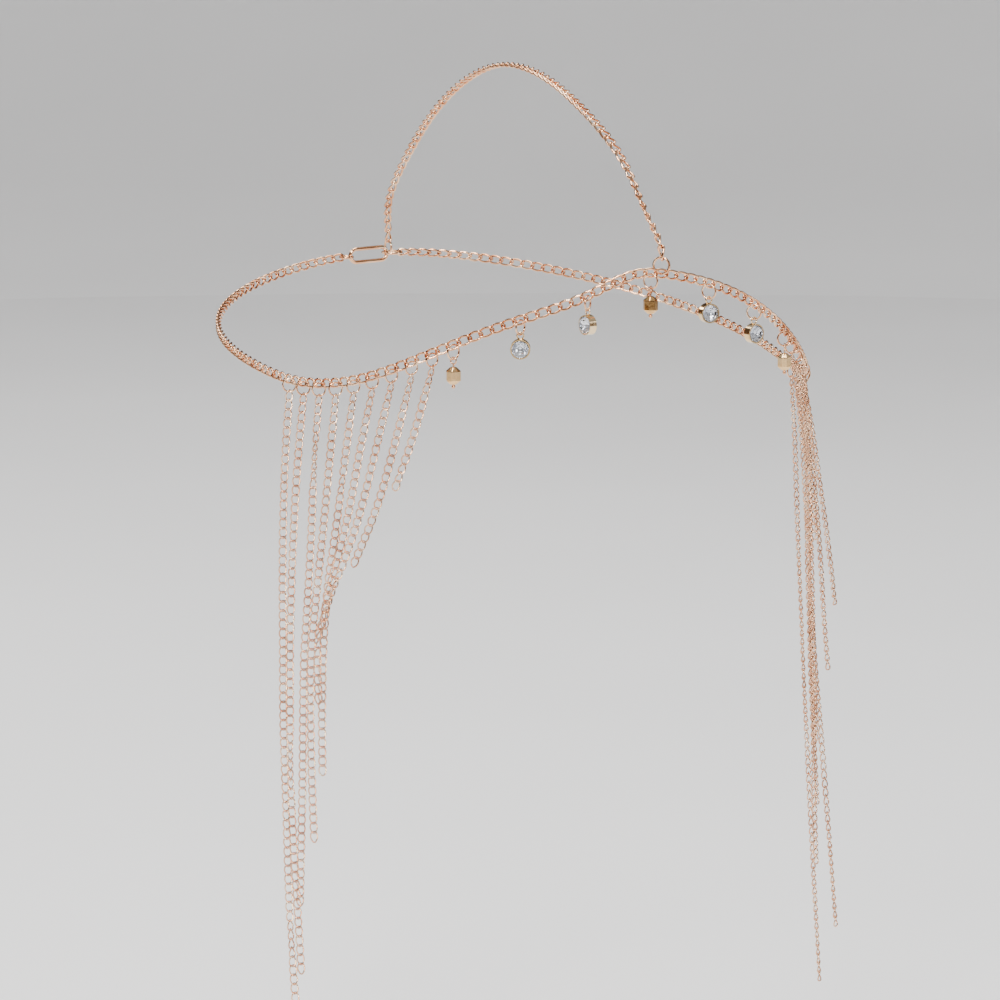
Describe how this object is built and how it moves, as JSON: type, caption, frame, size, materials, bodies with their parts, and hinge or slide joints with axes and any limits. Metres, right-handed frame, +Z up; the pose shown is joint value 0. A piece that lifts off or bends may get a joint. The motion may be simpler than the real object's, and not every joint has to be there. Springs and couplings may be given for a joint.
{
  "type": "head chain with side fringes",
  "caption": "Worn head jewel: a curb chain loop with a crown chain, small bead and stone drops along the front and hanging chain fringes at both sides.",
  "frame": {"origin": "top of the head opening, just under the crown chain", "axes": "+Z up, -Y to the front of the loop, +X to the wearer's left side"},
  "size_m": [0.1815, 0.1898, 0.2871],
  "materials": {
    "rose_gold": "polished pale rose gold plate",
    "pale_gold": "polished pale yellow gold plate",
    "bead_gold": "faceted gold",
    "stone": "clear faceted glass"
  },
  "bodies": {
    "root": {"back_ring": "rose_gold", "bead_centre": "bead_gold", "bead_left_3": "bead_gold", "bead_right_3": "bead_gold", "clasp": "rose_gold", "crown_chain": "rose_gold", "crown_end_ring": "rose_gold", "drop_ring_centre": "rose_gold", "drop_ring_left_1": "rose_gold", "drop_ring_left_2": "rose_gold", "drop_ring_left_3": "rose_gold", "drop_ring_right_1": "rose_gold", "drop_ring_right_2": "rose_gold", "drop_ring_right_3": "rose_gold", "fringe_left_1": "rose_gold", "fringe_left_2": "rose_gold", "fringe_left_3": "rose_gold", "fringe_left_4": "rose_gold", "fringe_left_5": "rose_gold", "fringe_left_6": "rose_gold", "fringe_left_7": "rose_gold", "fringe_left_8": "rose_gold", "fringe_left_9": "rose_gold", "fringe_right_1": "rose_gold", "fringe_right_2": "rose_gold", "fringe_right_3": "rose_gold", "fringe_right_4": "rose_gold", "fringe_right_5": "rose_gold", "fringe_right_6": "rose_gold", "fringe_right_7": "rose_gold", "fringe_right_8": "rose_gold", "fringe_right_9": "rose_gold", "fringe_rings_left": "rose_gold", "fringe_rings_right": "rose_gold", "front_ring": "rose_gold", "head_chain_left": "rose_gold", "head_chain_right": "rose_gold", "head_pin_centre": "rose_gold", "head_pin_left_3": "rose_gold", "head_pin_right_3": "rose_gold", "setting_left_1": "pale_gold", "setting_left_2": "pale_gold", "setting_right_1": "pale_gold", "setting_right_2": "pale_gold", "stone_left_1": "stone", "stone_left_2": "stone", "stone_right_1": "stone", "stone_right_2": "stone"}
  },
  "joints": []
}
